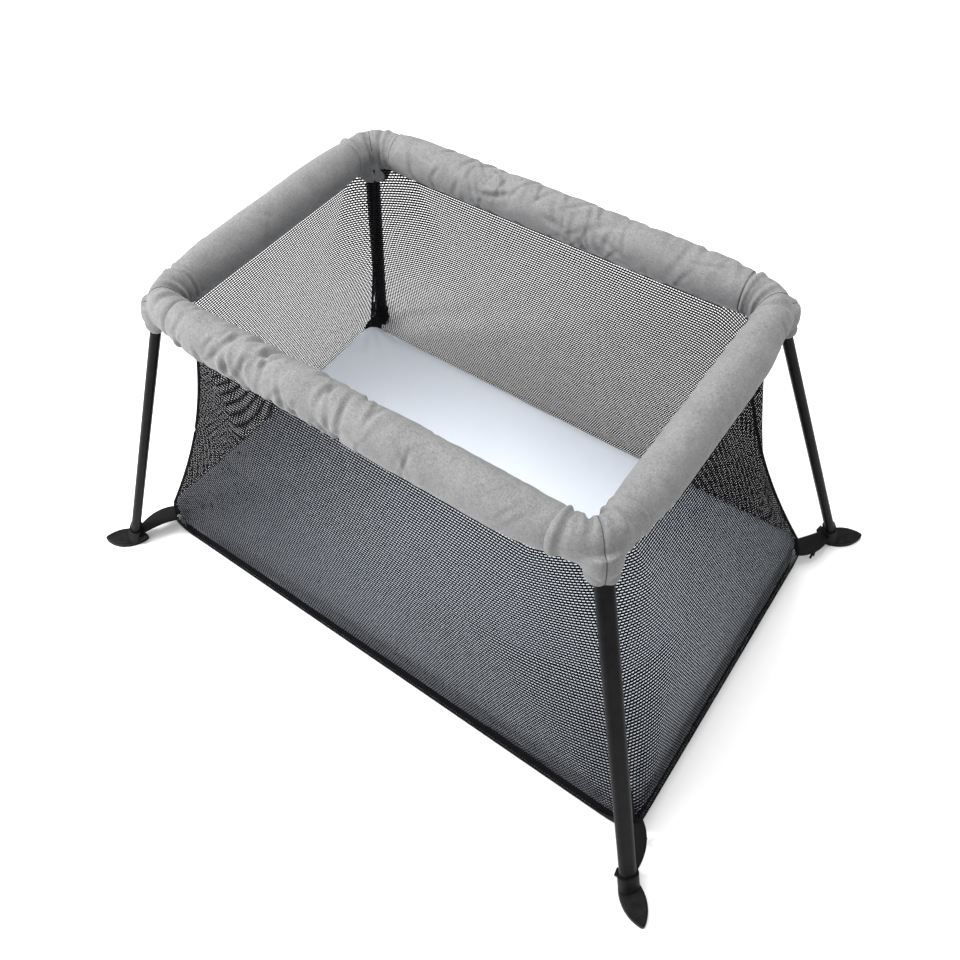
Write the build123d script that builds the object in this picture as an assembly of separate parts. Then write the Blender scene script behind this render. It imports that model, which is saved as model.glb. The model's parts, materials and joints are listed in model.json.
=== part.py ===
from build123d import *
import os
from math import acos, degrees, sqrt

# A travel playpen: a padded rectangular rim on four splayed oval legs, with netting walls and a mattress
# on the floor. Millimetres, +Z up, origin on the floor under the centre, +X along the long side.
# The rim folds in half at the centre hinges of the long rails, and the legs fold in under the rim.

# Rim: the rail axes form a rectangle
RIM_HALF_LENGTH = 408.0
RIM_HALF_WIDTH = 267.0
RIM_HEIGHT = 630.0
BEND_RADIUS = 40.0
RAIL_RADIUS = 11.0
RAIL_BORE = 9.5

# Padded sleeve on the rails: round on top, drawn to an edge below
SLEEVE_RADIUS = 36.0
SLEEVE_DROP = 50.0
SLEEVE_EDGE_RADIUS = 3.0
SLEEVE_WALL = 3.0
CAP_REACH = 66.0
LEG_HOLE_GAP = 1.0
SKIRT_RADIUS = 25.5
SKIRT_MOUTH = 19.0
SKIRT_LENGTH = 22.0

# Legs: an oval tube whose axis runs from the middle of the rim's corner bend to this place on the floor
FOOT_HALF_LENGTH = 584.0
FOOT_HALF_WIDTH = 401.5
LEG_WIDTH = 28.0
LEG_DEPTH = 17.0
LEG_WALL = 1.5
PIVOT_DROP = 28.0
LEG_START = 16.0
LEG_END_HEIGHT = 7.0

# Base and bedding
BASE_HALF_LENGTH = 546.0
BASE_HALF_WIDTH = 325.0
NETTING = 2.0
WALL_TOP_INSET = 32.0
FLOOR_THICKNESS = 4.5
FLOOR_INSET = 2.0
FLOOR_CORNER = 40.0
SHEET_HALF_LENGTH = 531.0
SHEET_HALF_WIDTH = 316.0
SHEET_TOP = 58.0
SHEET_THICKNESS = 1.0
SHEET_CORNER = 38.0
SHEET_EDGE = 15.0

# Fits and gaps
BODY_GAP = 0.3
RUNNING_FIT = 0.05
SPIGOT_GAP = 0.2
DRILL_LENGTH = 40.0

# Corner block and leg pivot
BLOCK_RADIUS = 14.0
BLOCK_REACH = 44.0
SPIGOT_LENGTH = 25.0
EAR_RADIUS = 12.5
NECK_RADIUS = 20.0
EAR_THICKNESS = 5.5
NECK_HEIGHT = 20.0
TONGUE_THICKNESS = 16.0
TONGUE_GAP = 0.2
TONGUE_RADIUS = 11.5
TONGUE_NECK = 11.0
LEG_PIN_RADIUS = 4.0
PLUG_LENGTH = 30.0

# Centre hinge, whose pin stands above the rail axis so that one half folds over the other
HINGE_RISE = 14.0
LEAF_RADIUS = 13.0
LEAF_NEAR = 7.5
LEAF_FAR = 30.0
EYE_RADIUS = 6.5
HINGE_PIN_RADIUS = 3.0
HINGE_TONGUE = 8.0
HINGE_EAR = 4.5
STOP_WIDTH = 16.0
STOP_HEIGHT = 12.0
STOP_DROP = 5.0

# Lock button under each centre hinge
BUTTON_RADIUS = 5.0
BUTTON_PLACE = 18.0
BUTTON_LENGTH = 21.0
BUTTON_TOP_DROP = 4.0
BUTTON_BORE_TOP = 9.0
SPRING_RADIUS = 3.5
SPRING_WIRE = 0.5
SPRING_PITCH = 2.4
SPRING_GAP = 0.2
BUTTON_ROUND = 1.2

# Rivets
RIVET_RADIUS = 2.0
RIVET_HEAD_RADIUS = 3.5
RIVET_HEAD = 1.4
RIVET_INSET = 12.0

# Feet, straps and base corner fittings
PAD_OUT = 58.0
PAD_IN = 32.0
PAD_HALF_WIDTH = 20.0
PAD_THICKNESS = 13.0
PAD_TIP_ROUND = 5.0
PAD_TOP_ROUND = 4.0
COLLAR_START = 4.0
COLLAR_WALL = 3.5
COLLAR_TOP = 42.0
STRAP_FOOT_WIDTH = 20.0
STRAP_BASE_WIDTH = 30.0
STRAP_THICKNESS = 2.0
STRAP_GAP = 5.0
ANCHOR_HEIGHT = 8.0
ANCHOR_LENGTH = 12.0
ANCHOR_MARGIN = 2.0
FITTING_RADIUS = 2.2
RING_RADIUS = 8.0
HOOK_RADIUS = 6.0
HOOK_SHANK = 9.0
HOOK_TIP = 4.0
FITTING_HEIGHT = 20.0
FITTING_REACH = 11.0
HOOK_PLACE = 14.0

DOWN = Vector(0, 0, -1)
CORNER = Vector(-RIM_HALF_LENGTH, -RIM_HALF_WIDTH, RIM_HEIGHT)
BEND_CENTRE = CORNER + Vector(BEND_RADIUS, BEND_RADIUS, 0)
BEND_MIDDLE = BEND_CENTRE - Vector(1, 1, 0).normalized() * BEND_RADIUS
LEG_FLOOR = Vector(-FOOT_HALF_LENGTH, -FOOT_HALF_WIDTH, 0)
LEG_DIRECTION = (LEG_FLOOR - BEND_MIDDLE).normalized()
PIVOT = BEND_MIDDLE + LEG_DIRECTION * (PIVOT_DROP / -LEG_DIRECTION.Z)
FOLDED_DIRECTION = Vector(0.975, 0.2, -0.10).normalized()
PIVOT_AXIS = LEG_DIRECTION.cross(FOLDED_DIRECTION).normalized()
LEG_TURN = degrees(acos(LEG_DIRECTION.dot(FOLDED_DIRECTION)))
OUTWARD = Vector(LEG_DIRECTION.X, LEG_DIRECTION.Y, 0).normalized()
SIDEWAYS = OUTWARD.cross(DOWN).normalized()
SLEEVE_END = RIM_HALF_LENGTH - CAP_REACH
SHORT_SLEEVE_END = RIM_HALF_WIDTH - CAP_REACH
SLEEVE_BOTTOM = RIM_HEIGHT - SLEEVE_DROP


def mirrored(shape, side, end):
    """A front left shape, moved to another corner."""
    if side == "right":
        shape = shape.mirror(Plane.YZ)
    if end == "back":
        shape = shape.mirror(Plane.XZ)
    return shape


def across_x(point):
    return Plane(origin=point, x_dir=(0, 1, 0), z_dir=(1, 0, 0))


def across_y(point):
    return Plane(origin=point, x_dir=(-1, 0, 0), z_dir=(0, 1, 0))


def rod(start, direction, radius, length):
    place = Plane(origin=start, z_dir=direction)
    return extrude(place * Circle(radius), length)


def leg_plane(distance):
    """The plane across the leg at a distance below its pivot."""
    return Plane(origin=PIVOT + LEG_DIRECTION * distance, x_dir=SIDEWAYS, z_dir=LEG_DIRECTION)


def hexahedron(lower, upper):
    """A solid between two quadrilaterals with matching corners."""
    faces = [Face(Wire.make_polygon(lower)), Face(Wire.make_polygon(upper))]
    for i in range(4):
        j = (i + 1) % 4
        faces.append(Face(Wire.make_polygon([lower[i], lower[j], upper[j], upper[i]])))
    return Solid(Shell(faces))


# Soft rim

def drop_section(inset):
    """The sleeve's section, drawn in by an inset."""
    top = Circle(SLEEVE_RADIUS - inset)
    edge_radius = SLEEVE_EDGE_RADIUS - inset * 0.6
    edge = Pos(0, SLEEVE_EDGE_RADIUS - SLEEVE_DROP + inset) * Circle(edge_radius)
    return make_hull(top.edges() + edge.edges())


def drop_prism(plane, inset, length):
    return extrude(plane * drop_section(inset), length)


def sleeve_long():
    plane = across_x((-SLEEVE_END, -RIM_HALF_WIDTH, RIM_HEIGHT))
    length = SLEEVE_END - BODY_GAP / 2
    return drop_prism(plane, 0, length) - drop_prism(plane, SLEEVE_WALL, length)


def sleeve_short():
    plane = across_y((-RIM_HALF_LENGTH, -SHORT_SLEEVE_END, RIM_HEIGHT))
    length = 2 * SHORT_SLEEVE_END
    return drop_prism(plane, 0, length) - drop_prism(plane, SLEEVE_WALL, length)


def bend(section):
    """A section in the XZ plane, turned through the rim's quarter corner."""
    turned = revolve(Plane.XZ * Pos(BEND_RADIUS, 0) * section, Axis.Z, revolution_arc=90)
    return Pos(*BEND_CENTRE) * Rot(0, 0, 180) * turned


def cap_forms(inset, overrun):
    """The corner cap's outer forms, or with an inset the spaces inside it."""
    straight = CAP_REACH - BEND_RADIUS - BODY_GAP + overrun
    return [
        bend(drop_section(inset)),
        drop_prism(across_x(CORNER + Vector(BEND_RADIUS, 0, 0)), inset, straight),
        drop_prism(across_y(CORNER + Vector(0, BEND_RADIUS, 0)), inset, straight),
        Pos(*PIVOT) * Sphere(SKIRT_RADIUS - inset),
        rod(PIVOT, LEG_DIRECTION, SKIRT_MOUTH - inset, SKIRT_LENGTH + overrun),
    ]


def corner_cap():
    """The cap's shell, open at both sleeve ends and round the leg."""
    outer = cap_forms(0, 0)
    cap = outer[0]
    for form in outer[1:]:
        cap += form
    for space in cap_forms(SLEEVE_WALL, 2):
        cap -= space
    gap = 2 * LEG_HOLE_GAP
    cap -= leg_prism(0, 2 * SLEEVE_DROP, LEG_WIDTH + gap, LEG_DEPTH + gap)
    return cap.solids().sort_by(SortBy.VOLUME)[-1]


# Rim frame

def pivot_slab(thickness, low, high, half_width):
    """A plate across the leg pivot, upright, with the pivot axis as its normal."""
    across = Vector(PIVOT_AXIS.X, PIVOT_AXIS.Y, PIVOT_AXIS.Z)
    upright = (Vector(0, 0, 1) - across * across.Z).normalized()
    place = Plane(origin=PIVOT - across * (thickness / 2), x_dir=upright, z_dir=across)
    return extrude(place * Pos((low + high) / 2, 0) * Rectangle(high - low, 2 * half_width), thickness)


def pivot_disc(radius, thickness):
    return rod(PIVOT - PIVOT_AXIS * (thickness / 2), PIVOT_AXIS, radius, thickness)


def corner_block():
    slot = TONGUE_THICKNESS + 2 * TONGUE_GAP
    fork = slot + 2 * EAR_THICKNESS
    block = bend(Circle(BLOCK_RADIUS))
    for direction in (Vector(1, 0, 0), Vector(0, 1, 0)):
        block += rod(CORNER + direction * BEND_RADIUS, direction, BLOCK_RADIUS, BLOCK_REACH - BEND_RADIUS)
        block += rod(CORNER + direction * BLOCK_REACH, direction, RAIL_BORE - SPIGOT_GAP, SPIGOT_LENGTH)
    block += pivot_disc(EAR_RADIUS, fork)
    neck = pivot_slab(fork, 0, NECK_HEIGHT, EAR_RADIUS)
    block += neck & Pos(*PIVOT) * Sphere(SKIRT_RADIUS - SLEEVE_WALL - BODY_GAP)
    block += neck & Pos(*BEND_MIDDLE) * Cylinder(NECK_RADIUS, 4 * BLOCK_RADIUS)
    block -= pivot_slab(slot, -2 * EAR_RADIUS, EAR_RADIUS + 1, 2 * EAR_RADIUS)
    block -= pivot_disc(LEG_PIN_RADIUS, 2 * fork)
    for place in corner_rivets():
        block -= rivet_hole(place)
    return block


def leg_pin():
    return pivot_disc(LEG_PIN_RADIUS, TONGUE_THICKNESS + 2 * TONGUE_GAP + 2 * EAR_THICKNESS)


def corner_rivets():
    reach = BLOCK_REACH + RIVET_INSET
    return [CORNER + Vector(reach, 0, 0), CORNER + Vector(0, reach, 0)]


def leaf_rivet():
    return Vector(-LEAF_FAR - RIVET_INSET, -RIM_HALF_WIDTH, RIM_HEIGHT)


def rivet_hole(place):
    return rod(place + DOWN * (DRILL_LENGTH / 2), -DOWN, RIVET_RADIUS, DRILL_LENGTH)


def rivet(place):
    reach = RAIL_RADIUS + BODY_GAP / 4
    shape = rod(place + DOWN * reach, -DOWN, RIVET_RADIUS - RUNNING_FIT, 2 * reach)
    shape += rod(place - DOWN * reach, -DOWN, RIVET_HEAD_RADIUS, RIVET_HEAD)
    shape += rod(place + DOWN * reach, DOWN, RIVET_HEAD_RADIUS, RIVET_HEAD)
    return shape


def rail(start, direction, length):
    return rod(start, direction, RAIL_RADIUS, length) - rod(start, direction, RAIL_BORE, length)


def long_rail():
    start = CORNER + Vector(BLOCK_REACH + SPIGOT_GAP, 0, 0)
    length = RIM_HALF_LENGTH - BLOCK_REACH - LEAF_FAR - 2 * SPIGOT_GAP
    shape = rail(start, Vector(1, 0, 0), length)
    return shape - rivet_hole(corner_rivets()[0]) - rivet_hole(leaf_rivet())


def short_rail():
    start = CORNER + Vector(0, BLOCK_REACH + SPIGOT_GAP, 0)
    length = 2 * (RIM_HALF_WIDTH - BLOCK_REACH - SPIGOT_GAP)
    shape = rail(start, Vector(0, 1, 0), length)
    place = corner_rivets()[1]
    return shape - rivet_hole(place) - rivet_hole(Vector(place.X, -place.Y, place.Z))


# Centre hinge, front side. The left leaf has the tongue, the right leaf the fork.

def hinge_centre():
    return Vector(0, -RIM_HALF_WIDTH, RIM_HEIGHT + HINGE_RISE)


def leaf_body():
    """The left leaf's barrel, spigot and stop, without its eye."""
    axis_end = Vector(-LEAF_NEAR, -RIM_HALF_WIDTH, RIM_HEIGHT)
    body = rod(axis_end, Vector(-1, 0, 0), LEAF_RADIUS, LEAF_FAR - LEAF_NEAR)
    spigot = axis_end - Vector(LEAF_FAR - LEAF_NEAR, 0, 0)
    body += rod(spigot, Vector(-1, 0, 0), RAIL_BORE - SPIGOT_GAP, SPIGOT_LENGTH)
    stop = Vector(-LEAF_NEAR / 2 - BODY_GAP / 4, -RIM_HALF_WIDTH, RIM_HEIGHT - STOP_DROP)
    body += Pos(*stop) * Box(LEAF_NEAR - BODY_GAP / 2, STOP_WIDTH, STOP_HEIGHT)
    return body - rivet_hole(leaf_rivet())


def eye(y_low, thickness):
    """One eye round the hinge pin, with its neck to the left leaf's barrel."""
    centre = hinge_centre()
    start = Vector(0, centre.Y + y_low, centre.Z)
    shape = rod(start, Vector(0, 1, 0), EYE_RADIUS, thickness)
    neck = Vector(-LEAF_NEAR / 2 - 1, centre.Y + y_low + thickness / 2, centre.Z - EYE_RADIUS / 2)
    shape += Pos(*neck) * Box(LEAF_NEAR + 2, thickness, EYE_RADIUS)
    return shape


def pin_hole(radius):
    return rod(hinge_centre() - Vector(0, DRILL_LENGTH / 2, 0), Vector(0, 1, 0), radius, DRILL_LENGTH)


def hinge_leaf_left():
    leaf = leaf_body() + eye(-HINGE_TONGUE / 2, HINGE_TONGUE)
    leaf -= pin_hole(HINGE_PIN_RADIUS)
    bore_top = RIM_HEIGHT + BUTTON_BORE_TOP
    mouth = Vector(-BUTTON_PLACE, -RIM_HALF_WIDTH, RIM_HEIGHT - 2 * LEAF_RADIUS)
    return leaf - rod(mouth, -DOWN, BUTTON_RADIUS + RUNNING_FIT, bore_top - mouth.Z)


def hinge_leaf_right():
    """Drawn on the left and mirrored, like every right piece."""
    gap = HINGE_TONGUE / 2 + BODY_GAP
    leaf = leaf_body() + eye(gap, HINGE_EAR) + eye(-gap - HINGE_EAR, HINGE_EAR)
    return leaf - pin_hole(HINGE_PIN_RADIUS + RUNNING_FIT)


def hinge_pin():
    half = HINGE_TONGUE / 2 + BODY_GAP + HINGE_EAR + 1
    return rod(hinge_centre() - Vector(0, half, 0), Vector(0, 1, 0), HINGE_PIN_RADIUS, 2 * half)


def lock_button():
    top = Vector(-BUTTON_PLACE, -RIM_HALF_WIDTH, RIM_HEIGHT - BUTTON_TOP_DROP)
    button = rod(top, DOWN, BUTTON_RADIUS, BUTTON_LENGTH)
    return fillet(button.faces().sort_by(Axis.Z)[0].edges(), BUTTON_ROUND)


def lock_spring():
    foot = Vector(-BUTTON_PLACE, -RIM_HALF_WIDTH, RIM_HEIGHT - BUTTON_TOP_DROP + SPRING_WIRE + SPRING_GAP)
    height = BUTTON_BORE_TOP + BUTTON_TOP_DROP - 2 * (SPRING_WIRE + SPRING_GAP)
    path = Helix(pitch=SPRING_PITCH, height=height, radius=SPRING_RADIUS)
    section = Plane(origin=path @ 0, z_dir=path % 0) * Circle(SPRING_WIRE)
    return Pos(*foot) * sweep(section, path=path)


# Legs, front left

def leg_prism(start, length, width, depth):
    return extrude(leg_plane(start) * SlotOverall(width, depth), length)


def leg_length():
    return (PIVOT.Z - LEG_END_HEIGHT) / -LEG_DIRECTION.Z - LEG_START


def leg_tube():
    inner = 2 * LEG_WALL
    tube = leg_prism(LEG_START, leg_length(), LEG_WIDTH, LEG_DEPTH)
    return tube - leg_prism(LEG_START, leg_length(), LEG_WIDTH - inner, LEG_DEPTH - inner)


def leg_head():
    plug = 2 * (LEG_WALL + SPIGOT_GAP)
    head = pivot_disc(TONGUE_RADIUS, TONGUE_THICKNESS)
    across = PIVOT_AXIS.cross(LEG_DIRECTION)
    place = Plane(origin=PIVOT, x_dir=across, z_dir=LEG_DIRECTION)
    head += extrude(place * Rectangle(TONGUE_NECK, TONGUE_THICKNESS), LEG_START)
    head += leg_prism(LEG_START, PLUG_LENGTH, LEG_WIDTH - plug, LEG_DEPTH - plug)
    return head - pivot_disc(LEG_PIN_RADIUS + RUNNING_FIT, 2 * TONGUE_THICKNESS)


def floor_plane(height):
    """A level plane at the leg's floor point, with X outward along the foot."""
    return Plane(origin=(LEG_FLOOR.X, LEG_FLOOR.Y, height), x_dir=OUTWARD, z_dir=(0, 0, 1))


def foot():
    """An almond pad with a socket collar round the tube."""
    side = (PAD_OUT - PAD_IN) / 2
    outline = ThreePointArc((-PAD_IN, 0), (side, PAD_HALF_WIDTH), (PAD_OUT, 0))
    outline += ThreePointArc((PAD_OUT, 0), (side, -PAD_HALF_WIDTH), (-PAD_IN, 0))
    pad = extrude(floor_plane(0) * make_face(outline), PAD_THICKNESS)
    pad = fillet(pad.edges().filter_by(Axis.Z), PAD_TIP_ROUND)
    pad = fillet(pad.faces().sort_by(Axis.Z)[-1].edges(), PAD_TOP_ROUND)
    collar_start = (PIVOT.Z - COLLAR_TOP) / -LEG_DIRECTION.Z
    collar_length = (COLLAR_TOP - COLLAR_START) / -LEG_DIRECTION.Z
    wall = 2 * COLLAR_WALL
    pad += leg_prism(collar_start, collar_length, LEG_WIDTH + wall, LEG_DEPTH + wall)
    pad += strap_anchor()
    socket = leg_length() + LEG_START - collar_start + BODY_GAP
    return pad - leg_prism(collar_start, socket, LEG_WIDTH + SPIGOT_GAP, LEG_DEPTH + SPIGOT_GAP)


def strap_line():
    """The strap's two ends: at the foot's inner side and at the base corner's ring."""
    base = Vector(-BASE_HALF_LENGTH, -BASE_HALF_WIDTH, FITTING_HEIGHT) + OUTWARD * FITTING_REACH
    near_foot = Vector(LEG_FLOOR.X, LEG_FLOOR.Y, FITTING_HEIGHT) - OUTWARD * (PAD_IN - ANCHOR_LENGTH / 2)
    return near_foot, base


def strap_axes():
    """The strap's direction towards the base corner, and the level direction across it."""
    near_foot, base = strap_line()
    along = (base - near_foot).normalized()
    return along, along.cross(DOWN).normalized()


def strap_anchor():
    """A lug that faces along the strap."""
    near_foot, _ = strap_line()
    along, across = strap_axes()
    place = Plane(origin=near_foot - along, x_dir=across, z_dir=-along)
    return extrude(place * Rectangle(STRAP_FOOT_WIDTH + 2 * ANCHOR_MARGIN, ANCHOR_HEIGHT), ANCHOR_LENGTH)


def strap():
    near_foot, base = strap_line()
    along, across = strap_axes()
    lift = DOWN * (-STRAP_THICKNESS / 2)
    start = near_foot + along * STRAP_GAP
    end = base - along * (RING_RADIUS + FITTING_RADIUS + STRAP_GAP)
    foot_half = across * (STRAP_FOOT_WIDTH / 2)
    base_half = across * (STRAP_BASE_WIDTH / 2)
    outline = [start - foot_half, start + foot_half, end + base_half, end - base_half]
    return hexahedron([p - lift for p in outline], [p + lift for p in outline])


def corner_fittings():
    """A closed ring, and an open hook beside it, at the base corner."""
    _, base = strap_line()
    along, across = strap_axes()
    ring = Plane(origin=base, x_dir=along, z_dir=across) * Torus(RING_RADIUS, FITTING_RADIUS)
    beside = Plane(origin=base + across * HOOK_PLACE, x_dir=along, z_dir=across)
    path = Line((-HOOK_RADIUS, HOOK_SHANK), (-HOOK_RADIUS, 0))
    path += ThreePointArc((-HOOK_RADIUS, 0), (0, -HOOK_RADIUS), (HOOK_RADIUS, 0))
    path += Line((HOOK_RADIUS, 0), (HOOK_RADIUS, HOOK_TIP))
    section = Plane(origin=(-HOOK_RADIUS, HOOK_SHANK, 0), z_dir=(0, -1, 0)) * Circle(FITTING_RADIUS)
    return [ring, beside * sweep(section, path=path)]


# Netting walls

def wall(top_half, top_offset, base_half, base_offset):
    """A flared front wall: half its length and its distance from the centre, above and below.

    Its upper ends stop short of the corner, clear of the leg.
    """
    def quad(half, offset, height):
        inner = NETTING / 2
        outer_end = half + inner - BODY_GAP
        inner_end = half - inner - BODY_GAP
        return [
            Vector(-outer_end, -offset - inner, height),
            Vector(outer_end, -offset - inner, height),
            Vector(inner_end, -offset + inner, height),
            Vector(-inner_end, -offset + inner, height),
        ]
    low = FLOOR_THICKNESS + BODY_GAP
    high = SLEEVE_BOTTOM - BODY_GAP
    upper = quad(top_half - WALL_TOP_INSET, top_offset, high)
    return hexahedron(quad(base_half, base_offset, low), upper)


def wall_front():
    return wall(RIM_HALF_LENGTH, RIM_HALF_WIDTH, BASE_HALF_LENGTH, BASE_HALF_WIDTH)


def wall_left():
    shape = wall(RIM_HALF_WIDTH, RIM_HALF_LENGTH, BASE_HALF_WIDTH, BASE_HALF_LENGTH)
    return shape.rotate(Axis.Z, -90)


# Floor and bedding

def slab(half_length, half_width, corner, low, high):
    outline = RectangleRounded(2 * half_length, 2 * half_width, corner)
    return extrude(Plane.XY.offset(low) * outline, high - low)


def bedding(inset, low):
    """The mattress form, drawn in by an inset, with a soft upper edge."""
    form = slab(SHEET_HALF_LENGTH - inset, SHEET_HALF_WIDTH - inset, SHEET_CORNER - inset, low, SHEET_TOP - inset)
    return fillet(form.faces().sort_by(Axis.Z)[-1].edges(), SHEET_EDGE - inset)


def floor_panel():
    half_length = BASE_HALF_LENGTH - FLOOR_INSET
    half_width = BASE_HALF_WIDTH - FLOOR_INSET
    return slab(half_length, half_width, FLOOR_CORNER, 0, FLOOR_THICKNESS)


def mattress():
    return bedding(SHEET_THICKNESS + SPIGOT_GAP, FLOOR_THICKNESS + BODY_GAP)


def fitted_sheet():
    return bedding(0, FLOOR_THICKNESS + BODY_GAP) - bedding(SHEET_THICKNESS, FLOOR_THICKNESS)


def group(shapes):
    return Compound(children=[Compound(shape.wrapped) for shape in shapes])


def build():
    """Every node's shape by name."""
    nodes = {
        "floor_panel": floor_panel(),
        "mattress": mattress(),
        "fitted_sheet": fitted_sheet(),
        "wall_front": wall_front(),
        "wall_back": wall_front().mirror(Plane.XZ),
        "wall_left": wall_left(),
        "wall_right": wall_left().mirror(Plane.YZ),
        "hinge_pins": group([hinge_pin(), hinge_pin().mirror(Plane.XZ)]),
        "lock_springs": group([lock_spring(), lock_spring().mirror(Plane.XZ)]),
    }
    corner_pieces = {
        "corner_block": corner_block(),
        "corner_cap": corner_cap(),
        "leg_tube": leg_tube(),
        "leg_head": leg_head(),
        "foot": foot(),
        "strap": strap(),
        "long_rail": long_rail(),
        "rim_sleeve": sleeve_long(),
    }
    leaves = {"left": hinge_leaf_left(), "right": hinge_leaf_right()}
    for end in ("front", "back"):
        nodes[f"lock_button_{end}"] = mirrored(lock_button(), "left", end)
    for side in ("left", "right"):
        nodes[f"short_rail_{side}"] = mirrored(short_rail(), side, "front")
        nodes[f"rim_sleeve_{side}"] = mirrored(sleeve_short(), side, "front")
        ends = ("front", "back")
        nodes[f"leg_pins_{side}"] = group([mirrored(leg_pin(), side, end) for end in ends])
        places = corner_rivets() + [leaf_rivet()]
        nodes[f"rivets_{side}"] = group([mirrored(rivet(p), side, end) for p in places for end in ends])
        for end in ends:
            nodes[f"hinge_leaf_{end}_{side}"] = mirrored(leaves[side], side, end)
            fittings = [mirrored(shape, side, end) for shape in corner_fittings()]
            nodes[f"corner_fittings_{end}_{side}"] = group(fittings)
            for name, shape in corner_pieces.items():
                nodes[f"{name}_{end}_{side}"] = mirrored(shape, side, end)
    return nodes


os.makedirs("parts", exist_ok=True)
for node, shape in build().items():
    export_step(shape, f"parts/{node}.step")
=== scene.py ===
import json
import math
import random

import bmesh
import bpy
import numpy as np
from mathutils import Matrix, Vector, noise
from mathutils.bvhtree import BVHTree


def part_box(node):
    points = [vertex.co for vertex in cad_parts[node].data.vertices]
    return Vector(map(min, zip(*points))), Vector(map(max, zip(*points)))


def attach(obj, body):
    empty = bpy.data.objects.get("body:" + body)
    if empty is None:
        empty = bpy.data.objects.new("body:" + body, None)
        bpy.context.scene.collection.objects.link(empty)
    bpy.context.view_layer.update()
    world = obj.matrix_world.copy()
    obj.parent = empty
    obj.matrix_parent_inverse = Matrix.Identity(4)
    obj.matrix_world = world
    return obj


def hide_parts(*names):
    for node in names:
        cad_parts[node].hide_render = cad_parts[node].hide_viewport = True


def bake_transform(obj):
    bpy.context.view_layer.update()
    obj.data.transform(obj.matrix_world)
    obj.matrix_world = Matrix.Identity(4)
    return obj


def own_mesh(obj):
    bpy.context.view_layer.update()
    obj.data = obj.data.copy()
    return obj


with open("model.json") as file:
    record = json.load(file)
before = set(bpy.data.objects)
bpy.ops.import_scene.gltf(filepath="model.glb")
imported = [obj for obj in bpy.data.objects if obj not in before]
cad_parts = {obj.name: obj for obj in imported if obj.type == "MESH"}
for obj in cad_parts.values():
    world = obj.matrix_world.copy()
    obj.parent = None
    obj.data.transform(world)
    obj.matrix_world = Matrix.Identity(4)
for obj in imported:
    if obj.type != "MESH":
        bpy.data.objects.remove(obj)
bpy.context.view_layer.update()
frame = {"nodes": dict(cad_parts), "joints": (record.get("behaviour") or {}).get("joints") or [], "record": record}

# A travel playpen: a padded rectangular rim on four splayed legs, netting walls and a mattress.
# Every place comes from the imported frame. Metres, +Z up.

SCENE = bpy.context.scene
UP = Vector((0, 0, 1))
SIDES = {"left": -1, "right": 1}
ENDS = {"front": -1, "back": 1}


def middle(node):
    low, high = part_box(node)
    return (low + high) / 2


RIM_HALF_LENGTH = -middle("short_rail_left").x
RIM_HALF_WIDTH = -middle("long_rail_front_left").y
RIM_HEIGHT = middle("short_rail_left").z
SLEEVE_LOW, SLEEVE_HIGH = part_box("rim_sleeve_front_left")
SLEEVE_RADIUS = SLEEVE_HIGH.z - RIM_HEIGHT
SLEEVE_BOTTOM = SLEEVE_LOW.z
SLEEVE_DROP = RIM_HEIGHT - SLEEVE_BOTTOM
EDGE_RADIUS = SLEEVE_RADIUS / 12
BEND_RADIUS = 0.040
SLEEVE_END = -SLEEVE_LOW.x
SHORT_SLEEVE_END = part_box("rim_sleeve_left")[1].y
BASE_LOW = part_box("wall_front")[0]
BASE_HALF_LENGTH = -BASE_LOW.x - 0.001
BASE_HALF_WIDTH = -BASE_LOW.y - 0.001
FLOOR_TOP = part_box("floor_panel")[1].z
SHEET_LOW, SHEET_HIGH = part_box("fitted_sheet")
JOINTS = {j["name"]: j for j in frame["joints"]}
MOUNTS = {m["name"]: m for m in frame["record"]["mounts"]}


# Small helpers

def make_object(name, vertices, faces, material, uv=None):
    """An object from points and faces, with a place on the flat cloth for each point where uv is given."""
    mesh = bpy.data.meshes.new(name)
    mesh.from_pydata([tuple(v) for v in vertices], [], faces)
    if uv is not None:
        layer = mesh.uv_layers.new(name="cloth")
        for loop in mesh.loops:
            layer.data[loop.index].uv = uv[loop.vertex_index]
    mesh.update()
    return link_mesh(name, mesh, material)


def place_object(name, data):
    obj = bpy.data.objects.new(name, data)
    SCENE.collection.objects.link(obj)
    return obj


def link_mesh(name, mesh, material):
    obj = place_object(name, mesh)
    mesh.materials.clear()
    mesh.materials.append(material)
    mesh.polygons.foreach_set("use_smooth", [True] * len(mesh.polygons))
    return obj


def grid_faces(rows, columns, closed=False):
    """Faces between rows of points; closed joins each row's last point to its first."""
    faces = []
    for i in range(rows - 1):
        for j in range(columns if closed else columns - 1):
            k = (j + 1) % columns
            a = i * columns
            faces.append((a + j, a + k, a + columns + k, a + columns + j))
    return faces


def closed_object(name, tubes, material):
    """An object from closed forms, each given as rings of points, with its faces turned outwards."""
    bm = bmesh.new()
    for rings in tubes:
        add_tube(bm, rings)
    bmesh.ops.recalc_face_normals(bm, faces=bm.faces)
    mesh = bpy.data.meshes.new(name)
    bm.to_mesh(mesh)
    bm.free()
    return link_mesh(name, mesh, material)


def add_tube(bm, rings):
    """A closed form through rings of points, with both ends filled."""
    made = [[bm.verts.new(p) for p in ring] for ring in rings]
    count = len(made[0])
    for lower, upper in zip(made, made[1:]):
        for i in range(count):
            j = (i + 1) % count
            bm.faces.new((lower[i], lower[j], upper[j], upper[i]))
    bm.faces.new(list(reversed(made[0])))
    bm.faces.new(made[-1])


def apply_modifiers(obj):
    bpy.context.view_layer.update()
    graph = bpy.context.evaluated_depsgraph_get()
    mesh = bpy.data.meshes.new_from_object(obj.evaluated_get(graph))
    obj.modifiers.clear()
    old = obj.data
    obj.data = mesh
    bpy.data.meshes.remove(old)
    mesh.polygons.foreach_set("use_smooth", [True] * len(mesh.polygons))


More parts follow.
